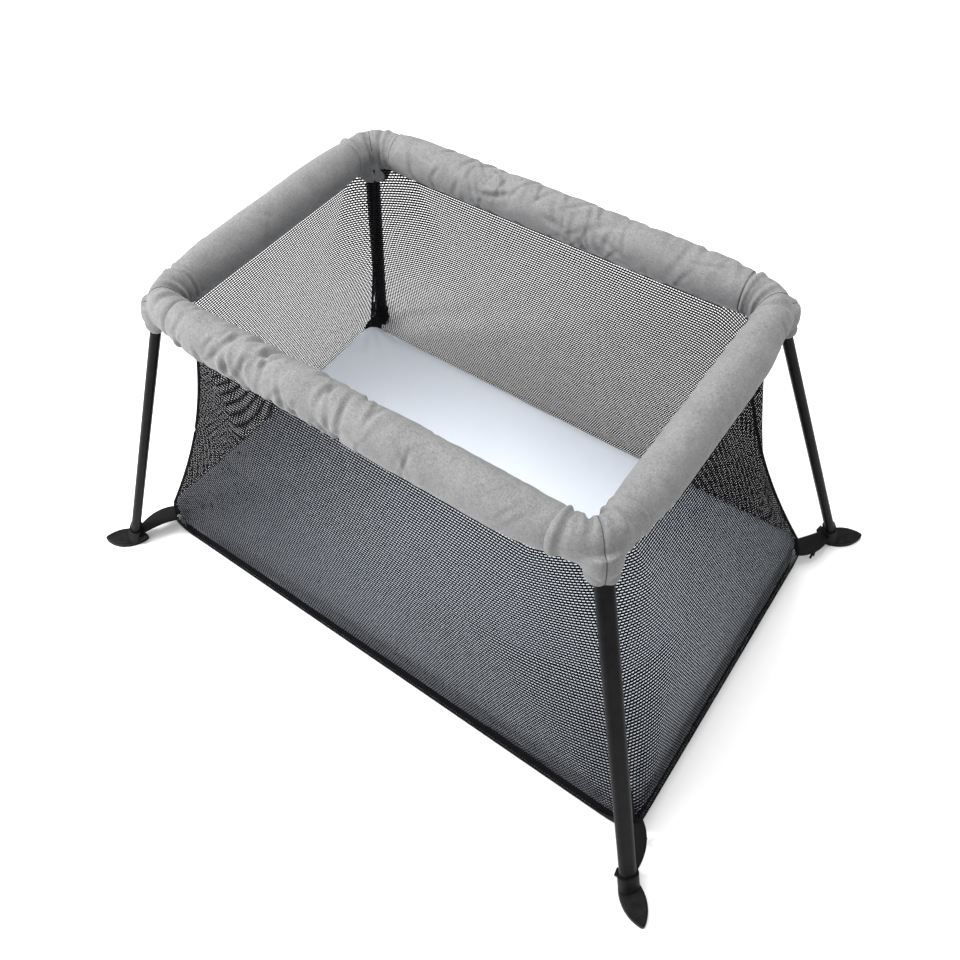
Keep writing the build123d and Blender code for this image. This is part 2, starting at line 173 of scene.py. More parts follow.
def remesh(obj, voxel):
    """Adds a remesh, which makes one skin of the closed forms in a piece."""
    modifier = obj.modifiers.new("remesh", "REMESH")
    modifier.mode = "VOXEL"
    modifier.voxel_size = voxel


def subdivide(obj):
    modifier = obj.modifiers.new("subdivision", "SUBSURF")
    modifier.levels = 1
    modifier.render_levels = 1
    apply_modifiers(obj)


def vectors_of(obj, key):
    values = np.zeros(len(obj.data.vertices) * 3, np.float32)
    obj.data.vertices.foreach_get(key, values)
    return values.reshape(-1, 3).astype(float)


def points_of(obj):
    return vectors_of(obj, "co")


def normals_of(obj):
    return vectors_of(obj, "normal")


def set_points(obj, points):
    obj.data.vertices.foreach_set("co", points.astype(np.float32).ravel())
    obj.data.update()


def smoothstep(low, high, value):
    t = np.clip((value - low) / (high - low), 0, 1)
    return t * t * (3 - 2 * t)


def bell(distance, width):
    """A soft bump: 1 at no distance, fading over a width."""
    return np.exp(-((distance / width) ** 2))


NOISE_STRIDE = (7.31, 3.17, 5.93)


def soft_noise(points, scale, seed):
    """Smooth noise from -1 to 1 at each point, with features of about that size in metres."""
    shift = Vector([seed * stride for stride in NOISE_STRIDE])
    return np.array([noise.noise(Vector(p) / scale + shift) for p in points])


# Materials

class Nodes:
    """A short way to write a node tree round one Principled shader."""

    def __init__(self, name):
        self.material = bpy.data.materials.new(name)
        self.material.use_nodes = True
        self.tree = self.material.node_tree
        self.shader = self.tree.nodes["Principled BSDF"]

    def node(self, kind, **settings):
        made = self.tree.nodes.new(kind)
        for key, value in settings.items():
            setattr(made, key, value)
        return made

    def join(self, source, target):
        self.tree.links.new(source, target)

    def put(self, socket, value):
        if hasattr(value, "is_output"):
            self.join(value, socket)
        else:
            socket.default_value = value

    def math(self, operation, *values):
        made = self.node("ShaderNodeMath", operation=operation)
        for socket, value in zip(made.inputs, values):
            self.put(socket, value)
        return made.outputs[0]

    def scaled(self, value, factor, offset):
        """A value times a factor, plus a number or another value."""
        return self.math("ADD", self.math("MULTIPLY", value, factor), offset)

    def noise(self, vector, scale, detail=2.0, roughness=0.5):
        made = self.node("ShaderNodeTexNoise")
        self.join(vector, made.inputs["Vector"])
        made.inputs["Scale"].default_value = scale
        made.inputs["Detail"].default_value = detail
        made.inputs["Roughness"].default_value = roughness
        return made.outputs["Fac"]

    def bands(self, vector, scale, distortion):
        """Slanting bands, slightly wavy."""
        made = self.node("ShaderNodeTexWave", wave_type="BANDS", bands_direction="DIAGONAL")
        self.join(vector, made.inputs["Vector"])
        made.inputs["Scale"].default_value = scale
        made.inputs["Distortion"].default_value = distortion
        return made.outputs["Fac"]

    def position(self, stretch=(1, 1, 1)):
        """The object's own coordinates, stretched."""
        source = self.node("ShaderNodeTexCoord").outputs["Object"]
        mapping = self.node("ShaderNodeMapping")
        mapping.inputs["Scale"].default_value = stretch
        self.join(source, mapping.inputs["Vector"])
        return mapping.outputs[0]

    def cloth_uv(self):
        return self.node("ShaderNodeUVMap", uv_map="cloth").outputs[0]

    def ramp(self, value, stops):
        made = self.node("ShaderNodeValToRGB")
        self.join(value, made.inputs[0])
        elements = made.color_ramp.elements
        while len(elements) < len(stops):
            elements.new(0.5)
        for element, (place, colour) in zip(elements, stops):
            element.position = place
            element.color = (*colour, 1)
        return made.outputs["Color"]

    def mix(self, factor, a, b, kind="MIX"):
        made = self.node("ShaderNodeMix", data_type="RGBA", blend_type=kind)
        self.put(made.inputs[0], factor)
        for socket, value in ((made.inputs[6], a), (made.inputs[7], b)):
            self.put(socket, (*value, 1) if isinstance(value, tuple) else value)
        return made.outputs[2]

    def bump(self, height, distance, strength):
        made = self.node("ShaderNodeBump")
        self.join(height, made.inputs["Height"])
        made.inputs["Distance"].default_value = distance
        made.inputs["Strength"].default_value = strength
        self.join(made.outputs[0], self.shader.inputs["Normal"])

    def set(self, **values):
        for key, value in values.items():
            self.put(self.shader.inputs[key.replace("_", " ")], value)
        return self.material


def melange_fabric(name, dark, light):
    """A padded knit of mixed grey yarns: streaky colour, a fine rib, and sheen."""
    n = Nodes(name)
    place = n.position()
    streaks = n.noise(n.position((1.0, 1.0, 3.2)), scale=420, detail=3.0, roughness=0.65)
    specks = n.noise(place, scale=1500, detail=2.0, roughness=0.6)
    cloudy = n.noise(place, scale=26, detail=3.0, roughness=0.55)
    blotches = n.noise(place, scale=210, detail=3.0, roughness=0.6)
    colour = n.ramp(streaks, [(0.30, dark), (0.70, light)])
    colour = n.mix(0.35, colour, n.ramp(specks, [(0.25, dark), (0.75, light)]))
    colour = n.mix(0.16, colour, n.ramp(blotches, [(0.36, dark), (0.64, light)]))
    colour = n.mix(0.16, colour, n.ramp(cloudy, [(0.3, dark), (0.7, light)]))
    weave = n.bands(place, scale=210, distortion=1.2)
    n.bump(n.scaled(weave, 0.5, specks), distance=0.0004, strength=0.55)
    n.set(Base_Color=colour, Roughness=n.scaled(specks, 0.12, 0.80))
    return n.set(Sheen_Weight=0.12, Sheen_Roughness=0.5, Specular_IOR_Level=0.15)


# The netting's holes: how far apart they are along a row and from row to row in metres, their half size as
# a share of that, and how much of it closes where the netting is drawn together, and where the right wall's
# holes are shut further as painted shade.
HOLE_PITCH = 0.0050
HOLE_ROW = 0.0060
HOLE_SIZE = 0.31
HOLE_CLOSING = 0.16
HOLE_SLANT = 0.92
HOLE_FLATNESS = 2.5
HOLE_SHARPNESS = 9


def netting(name):
    """Black netting: staggered rows of wide six-sided holes, seen through."""
    n = Nodes(name)
    parts = n.node("ShaderNodeSeparateXYZ")
    n.join(n.cloth_uv(), parts.inputs[0])
    row_value = n.math("DIVIDE", parts.outputs[1], HOLE_ROW)
    row = n.math("FLOOR", row_value)
    shift = n.math("MULTIPLY", n.math("MODULO", n.math("ABSOLUTE", row), 2.0), 0.5)
    along = n.math("ADD", n.math("DIVIDE", parts.outputs[0], HOLE_PITCH), shift)
    x = n.math("ABSOLUTE", n.math("SUBTRACT", n.math("FRACT", along), 0.5))
    y = n.math("ABSOLUTE", n.math("SUBTRACT", n.math("FRACT", row_value), 0.5))
    slant = n.scaled(x, HOLE_SLANT, y)
    edge = n.math("MAXIMUM", slant, n.math("MULTIPLY", y, HOLE_FLATNESS))
    # The density attribute: holes close where the netting is drawn together, and all over the right wall as
    # painted shade.
    closing_and_painted_shade = n.node("ShaderNodeAttribute", attribute_name="density").outputs["Fac"]
    size = n.math("SUBTRACT", HOLE_SIZE, n.math("MULTIPLY", closing_and_painted_shade, HOLE_CLOSING))
    alpha = n.math("MULTIPLY", n.math("SUBTRACT", edge, size), HOLE_SHARPNESS)
    alpha = n.math("MINIMUM", n.math("MAXIMUM", alpha, 0.0), 1.0)
    grain = n.noise(n.cloth_uv(), scale=2600, detail=2.0, roughness=0.6)
    colour = n.ramp(grain, [(0.3, (0.003, 0.003, 0.0035)), (0.7, (0.010, 0.010, 0.012))])
    n.bump(n.scaled(grain, 0.3, alpha), distance=0.0003, strength=0.6)
    n.set(Base_Color=colour, Roughness=n.scaled(grain, 0.2, 0.48))
    return n.set(Alpha=alpha, Specular_IOR_Level=0.0)


def woven_band(name, dark, light, pitch):
    """Flat webbing, binding, thread or floor cloth with fine slanting ribs."""
    n = Nodes(name)
    place = n.position()
    ribs = n.bands(place, scale=pitch, distortion=0.8)
    fuzz = n.noise(place, scale=1800, detail=2.0, roughness=0.6)
    value = n.scaled(ribs, 0.6, n.math("MULTIPLY", fuzz, 0.4))
    n.set(Base_Color=n.ramp(value, [(0.2, dark), (0.8, light)]), Roughness=n.scaled(fuzz, 0.2, 0.6))
    n.bump(value, distance=0.0005, strength=0.7)
    return n.set(Specular_IOR_Level=0.05)


def cotton_sheet(name):
    """A smooth pale jersey sheet with a hint of blue and a fine knit."""
    n = Nodes(name)
    place = n.position()
    knit = n.noise(n.position((1, 2.2, 1)), scale=1300, detail=2.0, roughness=0.6)
    cloudy = n.noise(place, scale=9, detail=2.0, roughness=0.5)
    broad = n.ramp(cloudy, [(0.3, (0.80, 0.86, 0.95)), (0.7, (0.84, 0.89, 0.97))])
    fine = n.ramp(knit, [(0.3, (0.78, 0.84, 0.93)), (0.7, (0.86, 0.91, 0.98))])
    n.set(Base_Color=n.mix(0.5, broad, fine), Roughness=n.scaled(knit, 0.1, 0.78))
    n.bump(knit, distance=0.0002, strength=0.5)
    return n.set(Sheen_Weight=0.2, Specular_IOR_Level=0.25)


def anodised_tube(name):
    """Dark satin anodised aluminium with faint drawing lines and rubbed patches."""
    n = Nodes(name)
    lines = n.noise(n.position((1, 1, 0.02)), scale=900, detail=2.0, roughness=0.6)
    rubbed = n.noise(n.position(), scale=40, detail=4.0, roughness=0.6)
    colour = n.ramp(rubbed, [(0.3, (0.004, 0.004, 0.0045)), (0.8, (0.009, 0.009, 0.010))])
    n.set(Base_Color=colour)
    gloss = n.math("ADD", n.math("MULTIPLY", lines, 0.10), n.math("MULTIPLY", rubbed, 0.10))
    n.set(Roughness=n.math("ADD", gloss, 0.30))
    n.bump(lines, distance=0.00005, strength=0.4)
    return n.set(Specular_IOR_Level=0.04)


def moulded_plastic(name, dark, light, roughness):
    """Matte moulded plastic or a painted coating: a fine grain with scuffs."""
    n = Nodes(name)
    grain = n.noise(n.position(), scale=2200, detail=2.0, roughness=0.7)
    scuffs = n.noise(n.position((1, 1, 3)), scale=70, detail=5.0, roughness=0.7)
    n.set(Base_Color=n.ramp(scuffs, [(0.35, dark), (0.85, light)]))
    varied = n.math("MULTIPLY", n.math("ADD", grain, scuffs), 0.12)
    n.set(Roughness=n.math("ADD", varied, roughness))
    n.bump(n.scaled(scuffs, 0.3, grain), distance=0.00015, strength=0.5)
    return n.set(Specular_IOR_Level=0.06)


def plain_steel(name):
    """Bright steel with faint turning lines."""
    n = Nodes(name)
    lines = n.noise(n.position((1, 12, 1)), scale=300, detail=3.0, roughness=0.6)
    colour = n.ramp(lines, [(0.3, (0.45, 0.45, 0.46)), (0.7, (0.62, 0.62, 0.63))])
    n.set(Base_Color=colour, Roughness=n.scaled(lines, 0.2, 0.25))
    n.bump(lines, distance=0.00005, strength=0.4)
    return n.set(Metallic=1.0)


RIM = melange_fabric("rim_melange", (0.064, 0.064, 0.0655), (0.246, 0.246, 0.2485))
SEAM = woven_band("seam_thread", (0.030, 0.030, 0.031), (0.075, 0.075, 0.077), 900)
NET = netting("black_netting")
BAND = woven_band("black_binding", (0.003, 0.003, 0.0035), (0.011, 0.011, 0.012), 420)
WEBBING = woven_band("black_webbing", (0.003, 0.003, 0.0035), (0.014, 0.014, 0.015), 260)
SHEET = cotton_sheet("pale_cotton")
FLOOR_CLOTH = woven_band("floor_cloth", (0.006, 0.006, 0.007), (0.020, 0.020, 0.022), 330)
TUBE = anodised_tube("dark_anodised")
PLASTIC = moulded_plastic("black_moulding", (0.004, 0.004, 0.0045), (0.014, 0.014, 0.015), 0.42)
STEEL = plain_steel("plain_steel")
RAIL = moulded_plastic("rail_coating", (0.16, 0.16, 0.165), (0.26, 0.26, 0.265), 0.3)


def finish_cad_nodes():
    """A material for every hard CAD node, which stays as it is."""
    slots = {"rail_tube": RAIL, "leg_tube": TUBE, "moulded_black": PLASTIC, "pin_steel": STEEL}
    for part in frame["record"]["subparts"]:
        material = slots.get(part["material_slot"])
        if material is not None:
            data = frame["nodes"][part["node"]].data
            for i in range(len(data.materials)):
                data.materials[i] = material


# Sleeve section

SECTION_POINTS = 84
FLANK_PUFF = 0.0022
PUFF_LIFT = 0.3


def section(count, grow=0.0):
    """The drop section as (side, height, arc) points from the top round, down the positive side first."""
    radius, small = SLEEVE_RADIUS + grow, EDGE_RADIUS
    gap = SLEEVE_DROP - EDGE_RADIUS
    lean = math.asin((radius - small) / gap)
    top_turn = math.pi / 2 + lean
    straight = math.sqrt(gap * gap - (radius - small) ** 2)
    lengths = [radius * top_turn, straight, small * (math.pi - top_turn)]
    half = sum(lengths)
    points = []
    for i in range(count):
        arc = 2 * half * i / count
        side = 1 if arc <= half else -1
        run = arc if arc <= half else 2 * half - arc
        if run <= lengths[0]:
            turn = run / radius
            point = (radius * math.sin(turn), radius * math.cos(turn))
        elif run <= lengths[0] + lengths[1]:
            share = (run - lengths[0]) / straight
            puff = FLANK_PUFF * math.sin(math.pi * share)
            start = (radius * math.sin(top_turn), radius * math.cos(top_turn))
            end = (small * math.sin(top_turn), -gap + small * math.cos(top_turn))
            point = tuple(a + (b - a) * share for a, b in zip(start, end))
            point = (point[0] + puff * math.cos(lean), point[1] + puff * math.sin(lean) * PUFF_LIFT)
        else:
            turn = top_turn + (run - lengths[0] - lengths[1]) / small
            point = (small * math.sin(turn), -gap + small * math.cos(turn))
        points.append((side * point[0], point[1], arc if side == 1 else arc - 2 * half))
    return points


CREASE_REACH = 0.11
CREASE_BEND = 6


def creases(along, arc, seed, count, middle_at, spread, depth, width, length, tilt):
    """The summed depth of random soft creases on unrolled cloth, each with a shoulder beside it."""
    chance = random.Random(seed)
    total = np.zeros(len(along))
    for _ in range(count):
        x0 = chance.gauss(middle_at, spread)
        s0 = chance.uniform(-CREASE_REACH, CREASE_REACH)
        angle = chance.gauss(math.pi / 2, tilt)
        long = length * chance.uniform(0.6, 1.5)
        wide = width * chance.uniform(0.6, 1.4)
        deep = depth * chance.uniform(0.4, 1.0)
        bend = chance.uniform(-CREASE_BEND, CREASE_BEND)
        dx, ds = along - x0, arc - s0
        run = dx * math.cos(angle) + ds * math.sin(angle)
        off = -dx * math.sin(angle) + ds * math.cos(angle) + bend * run * run
        fade = np.exp(-((run / long) ** 2) * 2)
        shoulder = 0.5 * bell(off - 1.6 * wide, wide)
        total += deep * fade * (shoulder - bell(off, wide))
    return total


def pucker(along, arc, x0, s0, size, depth, folds, phase):
    """Folds that fan out from a place where the cloth is caught."""
    dx, ds = along - x0, arc - s0
    reach = np.sqrt(dx * dx + ds * ds) + 1e-6
    turn = np.arctan2(ds, dx)
    strength = bell(reach, size) * np.clip(reach / (0.25 * size), 0, 1)
    rays = np.cos(folds * turn + phase) + 0.5 * np.cos((folds * 2 + 1) * turn - phase)
    dip = -1.3 * bell(reach, 0.3 * size)
    return depth * (strength * rays + dip)


SLEEVE_TUCK_DEPTH = 0.0008
SLEEVE_TUCK_WIDTH = 0.005


def sleeve_mesh(name, length, place, along_axis, side_axis, relief, step):
    """A drop-shaped sleeve along an axis, with a relief worked out on its unrolled cloth, then drawn in."""
    rows = int(length / step) + 1
    ring = section(SECTION_POINTS)
    along = np.linspace(-length / 2, length / 2, rows)
    a, b = np.array(along_axis, float), np.array(side_axis, float)
    up = np.array((0, 0, 1.0))
    points, unrolled = [], []
    for x in along:
        for side, height, arc in ring:
            points.append(np.array(place) + a * x + b * side + up * height)
            unrolled.append((x, arc))
    obj = make_object(name, points, grid_faces(rows, SECTION_POINTS, closed=True), RIM)
    cloth = np.array(unrolled)
    end = np.minimum(cloth[:, 0] + length / 2, length / 2 - cloth[:, 0])
    tuck = -SLEEVE_TUCK_DEPTH * bell(end, SLEEVE_TUCK_WIDTH)
    arc_from_top = np.abs(cloth[:, 1])
    hem = smoothstep(0.0, 0.02, np.abs(arc_from_top - arc_from_top.max()))
    normals = normals_of(obj)
    outward = np.sign(((points - np.array(place)) * normals).sum(1).mean())
    loose = 0.25 + 0.75 * hem
    shape = relief(cloth[:, 0], cloth[:, 1]) * loose * smoothstep(-0.004, 0.02, end) + tuck
    set_points(obj, np.array(points) + outward * normals * shape[:, None])
    if outward < 0:
        obj.data.flip_normals()
    set_points(obj, draw_in(points_of(obj)))
    subdivide(obj)
    return obj


# Creases of the long sleeves, in groups: the step of the seed, how many, the middle of the group along the
# sleeve and its spread, then the creases' depth, width and length, and how far their slants vary.
LONG_CREASES = {
    "front": (
        (0, 60, -0.06, 0.085, 0.0060, 0.0038, 0.028, 0.40),
        (2, 56, -0.22, 0.075, 0.0058, 0.0040, 0.030, 0.45),
        (3, 16, 0.20, 0.08, 0.0018, 0.0055, 0.045, 0.7),
    ),
    "back": (
        (0, 56, -0.10, 0.10, 0.0050, 0.0038, 0.030, 0.55),
        (2, 30, 0.05, 0.08, 0.0052, 0.0044, 0.035, 0.75),
        (3, 26, 0.24, 0.06, 0.0026, 0.0050, 0.045, 0.7),
    ),
}
# The place where each is caught, along it and round it, then the size, depth, number and turn of its folds.
LONG_PUCKER = {
    "front": (-0.01, 0.070, 0.050, 0.0018, 7, 0.4),
    "back": (0.03, -0.060, 0.045, 0.0013, 5, 1.7),
}
LONG_SEED = {"front": 11, "back": 23}
LONG_STEP = 0.0042


def long_sleeve(end):
    """A long sleeve, loose at its centre where the rail folds under it."""
    sign = ENDS[end]
    seed = LONG_SEED[end]

    def relief(along, arc):
        outer_arc = arc * sign
        flat = np.stack([along, outer_arc, np.full(len(along), seed)], axis=1)
        shape = 0.0016 * soft_noise(flat, 0.06, seed) + 0.0011 * soft_noise(flat, 0.022, seed + 1)
        for step, *group in LONG_CREASES[end]:
            shape += creases(along, outer_arc, seed + step, *group)
        shape += pucker(along, outer_arc, *LONG_PUCKER[end])
        return shape

    place = (0, sign * RIM_HALF_WIDTH, RIM_HEIGHT)
    length = 2 * SLEEVE_END
    obj = sleeve_mesh(f"rim_sleeve_{end}_cover", length, place, (1, 0, 0), (0, 1, 0), relief, LONG_STEP)
    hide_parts(f"rim_sleeve_{end}_left", f"rim_sleeve_{end}_right")
    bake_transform(obj)


# The short sleeves' one group of creases and one pucker, in the same order as the long sleeves'.
SHORT_CREASES = (22, 0.0, 0.14, 0.0015, 0.0050, 0.040, 0.8)
SHORT_PUCKER = (0.0, 0.052, 0.016, 0.0012, 4, 0.9)
SHORT_SEED = {"left": 37, "right": 41}
SHORT_STEP = 0.0055


def short_sleeve(side):
    """A short sleeve, pulled smooth, with one small nip."""
    sign = SIDES[side]
    seed = SHORT_SEED[side]

    def relief(along, arc):
        flat = np.stack([along, arc, np.full(len(along), seed)], axis=1)
        shape = 0.0011 * soft_noise(flat, 0.07, seed) + 0.0004 * soft_noise(flat, 0.02, seed + 1)
        shape += creases(along, arc, seed, *SHORT_CREASES)
        shape += pucker(along, arc * sign, *SHORT_PUCKER)
        return shape

    place = (sign * RIM_HALF_LENGTH, 0, RIM_HEIGHT)
    length = 2 * SHORT_SLEEVE_END
    obj = sleeve_mesh(f"rim_sleeve_{side}_cover", length, place, (0, 1, 0), (1, 0, 0), relief, SHORT_STEP)
    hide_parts(f"rim_sleeve_{side}")
    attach(obj, f"frame_{side}")


# Corner caps

def leg_frame(end, side):
    """The middle of the rim's bend at a corner, the leg pivot, and the leg's unit direction."""
    sx, sy = SIDES[side], ENDS[end]
    inset = BEND_RADIUS * (1 - math.sqrt(0.5))
    bend = Vector((sx * (RIM_HALF_LENGTH - inset), sy * (RIM_HALF_WIDTH - inset), RIM_HEIGHT))
    pivot = Vector(JOINTS[f"leg_fold_{end}_{side}"]["pos_m"])
    foot = Vector(MOUNTS[f"foot_sole_{end}_{side}"]["pos_m"])
    return bend, pivot, (foot - bend).normalized()


RING_POINTS = 32


def ellipse_ring(centre, first, second):
    turns = np.linspace(0, 2 * math.pi, RING_POINTS, endpoint=False)
    return [centre + first * math.cos(a) + second * math.sin(a) for a in turns]


def rim_line_near(x, y):
    """The nearest place on the rim's centre line, for points in the quarter of positive x and y."""
    centre_x = RIM_HALF_LENGTH - BEND_RADIUS
    centre_y = RIM_HALF_WIDTH - BEND_RADIUS
    over_x = np.maximum(x - centre_x, 0)
    over_y = np.maximum(y - centre_y, 0)
    reach = np.hypot(over_x, over_y) + 1e-9
    on_bend = (over_x > 0) & (over_y > 0)
    on_long = x <= centre_x
    straight_x = np.where(on_long, x, RIM_HALF_LENGTH)
    straight_y = np.where(on_long, RIM_HALF_WIDTH, y)
    near_x = np.where(on_bend, centre_x + BEND_RADIUS * over_x / reach, straight_x)
    near_y = np.where(on_bend, centre_y + BEND_RADIUS * over_y / reach, straight_y)
    return near_x, near_y


# Where the drawing in starts and is complete, then how much thinner the covers get there and how far they
# move inwards.
CORNER_FROM_X = (0.27, 0.385)
CORNER_FROM_Y = (0.12, 0.25)
SIDE_FROM_X = (0.33, 0.40)
CORNER_THINNER = 0.20
SIDE_THINNER = 0.05
CORNER_LOWER = 0.16
CORNER_FLATTER = 0.08
CORNER_INWARD_X = 0.005
CORNER_INWARD_Y = 0.006
SIDE_INWARD_X = 0.005


def draw_in(points):
    """Pulls the rim's covers in at the short sides and corners, where the stretched netting tightens them."""
    x, y, z = np.abs(points[:, 0]), np.abs(points[:, 1]), points[:, 2]
    near_x, near_y = rim_line_near(x, y)
    corner = smoothstep(*CORNER_FROM_X, near_x) * smoothstep(*CORNER_FROM_Y, near_y)
    side = smoothstep(*SIDE_FROM_X, near_x)
    shrink = 1 - CORNER_THINNER * corner - SIDE_THINNER * side
    new_x = near_x + (x - near_x) * shrink - SIDE_INWARD_X * side - CORNER_INWARD_X * corner
    new_y = near_y + (y - near_y) * shrink - CORNER_INWARD_Y * corner
    shorter = np.where(z < RIM_HEIGHT, 1 - CORNER_LOWER * corner, 1 - CORNER_FLATTER * corner)
    new_z = RIM_HEIGHT + (z - RIM_HEIGHT) * shorter
    return np.stack([np.sign(points[:, 0]) * new_x, np.sign(points[:, 1]) * new_y, new_z], axis=1)


ELBOW_POINTS = 48
ELBOW_STEPS = 15
ELBOW_OVERLAP = 0.003
ELBOW_GROW = 0.0008


def elbow_rings(sx, sy):
    """The sleeve's section, carried round the corner from one sleeve's end to the other's."""
    centre = Vector((sx * (RIM_HALF_LENGTH - BEND_RADIUS), sy * (RIM_HALF_WIDTH - BEND_RADIUS), RIM_HEIGHT))
    long_end = sx * (SLEEVE_END - ELBOW_OVERLAP)
    short_end = sy * (SHORT_SLEEVE_END - ELBOW_OVERLAP)
    stations = [(Vector((long_end, sy * RIM_HALF_WIDTH, RIM_HEIGHT)), Vector((0, sy, 0)))]
    for turn in np.linspace(0, math.pi / 2, ELBOW_STEPS):
        way = Vector((sx * math.sin(turn), sy * math.cos(turn), 0))
        stations.append((centre + way * BEND_RADIUS, way))
    stations.append((Vector((sx * RIM_HALF_LENGTH, short_end, RIM_HEIGHT)), Vector((sx, 0, 0))))
    ring = section(ELBOW_POINTS, ELBOW_GROW)
    rings = [[place + way * across + UP * height for across, height, _ in ring] for place, way in stations]
    return [draw_in(np.array(points)) for points in rings]


# The skirt's rings: how far each is along the leg from its pivot, its half width and its half depth.
SKIRT = (
    (-0.030, 0.0300, 0.0280), (-0.018, 0.0290, 0.0265), (-0.004, 0.0270, 0.0240),
    (0.008, 0.0225, 0.0195), (0.016, 0.0195, 0.0155), (0.020, 0.0178, 0.0125),
)


def skirt_rings(pivot, direction):
    across = direction.cross(UP).normalized()
    depth = across.cross(direction)
    rings = []
    for reach, wide, deep in SKIRT:
        rings.append(ellipse_ring(pivot + direction * reach, across * wide, depth * deep))
    return rings


# The gusset's rings: how high each is from the middle of the bend and how far out, its half width and depth.
GUSSET = (
    (-0.008, -0.012, 0.034, 0.024), (-0.022, -0.016, 0.036, 0.025), (-0.036, -0.020, 0.034, 0.022),
    (-0.048, -0.024, 0.028, 0.017), (-0.057, -0.027, 0.020, 0.010),
)


def gusset_rings(bend, outward, tangent):
    rings = []
    for height, reach, wide, deep in GUSSET:
        place = bend + Vector((0, 0, height)) + outward * reach
        rings.append(ellipse_ring(place, tangent * wide, outward * deep))
    return rings


CAP_VOXEL = 0.0024
CAP_SMOOTHING = 0.6
CAP_SMOOTH_STEPS = 6


def melt_together(obj):
    """Joins overlapping closed forms into one skin and smooths it."""
    remesh(obj, CAP_VOXEL)
    relax = obj.modifiers.new("relax", "CORRECTIVE_SMOOTH")
    relax.factor = CAP_SMOOTHING
    relax.iterations = CAP_SMOOTH_STEPS
    relax.smooth_type = "SIMPLE"
    relax.use_only_smooth = True
    apply_modifiers(obj)


def corner_cap(end, side):
    """A rounded fabric elbow over the corner, with a skirt round the leg and a gusset to the netting."""
    sx, sy = SIDES[side], ENDS[end]
    bend, pivot, direction = leg_frame(end, side)
    outward = Vector((sx, sy, 0)).normalized()
    tangent = Vector((-outward.y, outward.x, 0))
    tubes = [elbow_rings(sx, sy), skirt_rings(pivot, direction), gusset_rings(bend, outward, tangent)]
    obj = closed_object(f"corner_cap_{end}_{side}_cover", tubes, RIM)
    melt_together(obj)
    shape_cap(obj, bend, outward, sx, sy)
    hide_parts(f"corner_cap_{end}_{side}")
    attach(obj, f"frame_{side}")
    cap_seam(obj, end, side, bend, outward)


CAP_SEAM_DEPTH = 0.0015
CAP_SEAM_WIDTH = 0.0032
FOLD_DROP = 0.024
FOLD_SLOPE = 0.22
FOLD_DEPTH = 0.0034
FOLD_WIDTH = 0.0042
RIDGE_DROP = 0.011
RIDGE_HEIGHT = 0.0022
RIDGE_WIDTH = 0.006
GATHER_CENTRE = 0.030
GATHER_DEPTH = 0.0021
CAP_TUCK_DEPTH = 0.0009
CAP_TUCK_WIDTH = 0.004


def cap_folds(off, out, height, sx):
    """The fold round the outside of the bend, lower away from the seam, and the ridge under it."""
    outer = smoothstep(0.0, 0.014, out)
    flank = smoothstep(0.003, 0.014, np.abs(off))
    line = height + FOLD_DROP + FOLD_SLOPE * np.abs(off) + 0.004 * np.sin(off * 90 + sx)
    fold = -FOLD_DEPTH * bell(line, FOLD_WIDTH) * flank * outer
    ridge = RIDGE_HEIGHT * bell(line + RIDGE_DROP, RIDGE_WIDTH) * flank * outer
    return fold, ridge


def cap_gathers(points, out, height, sx, sy):
    """Small folds on the inside of the bend, where its cloth is bunched."""
    inner = smoothstep(0.006, -0.016, out) * smoothstep(-0.040, -0.010, height)
    plan_x = sx * points[:, 0] - (RIM_HALF_LENGTH - BEND_RADIUS)
    plan_y = sy * points[:, 1] - (RIM_HALF_WIDTH - BEND_RADIUS)
    turn = np.arctan2(plan_x + GATHER_CENTRE, plan_y + GATHER_CENTRE)
    gathers = np.cos(17 * turn + sx + 2 * sy) + 0.6 * np.cos(29 * turn + 3 * sx - sy)
    return GATHER_DEPTH * gathers * inner


def shape_cap(obj, bend, outward, sx, sy):
    """The pinched diagonal seam, the folds, slight unevenness and the tucks at the sleeve ends."""
    points, normals = points_of(obj), normals_of(obj)
    local = points - np.array(bend)
    tangent = np.array((-outward.y, outward.x, 0.0))
    off = local @ tangent
    out = local @ np.array(outward)
    height = local[:, 2]
    seam = -CAP_SEAM_DEPTH * bell(off, CAP_SEAM_WIDTH)
    fold, ridge = cap_folds(off, out, height, sx)
    gathers = cap_gathers(points, out, height, sx, sy)
    wobble = 0.0013 * soft_noise(points, 0.03, 5 + sx + 3 * sy) + 0.0006 * soft_noise(points, 0.012, 8)
    end_x = np.abs(np.abs(points[:, 0]) - SLEEVE_END)
    end_y = np.abs(np.abs(points[:, 1]) - SHORT_SLEEVE_END)
    tuck = -CAP_TUCK_DEPTH * (bell(end_x, CAP_TUCK_WIDTH) + bell(end_y, CAP_TUCK_WIDTH))
    shape = seam + fold + ridge + gathers + wobble + tuck
    set_points(obj, points + normals * shape[:, None])


def surface_line(obj, origins, centre, lift):
    """Points just off a piece's surface, found by rays from outside towards a centre."""
    tree = BVHTree.FromPolygons([v.co for v in obj.data.vertices], [p.vertices for p in obj.data.polygons])
    found = []
    for origin in origins:
        hit, normal, _, _ = tree.ray_cast(origin, (centre - origin).normalized())
        if hit is not None:
            found.append(hit + normal * lift)
    return found


# A direction that no thread runs along, to measure its sides from.
THREAD_UP = Vector((0.31, 0.17, 0.93))
THREAD_SIDES = 8


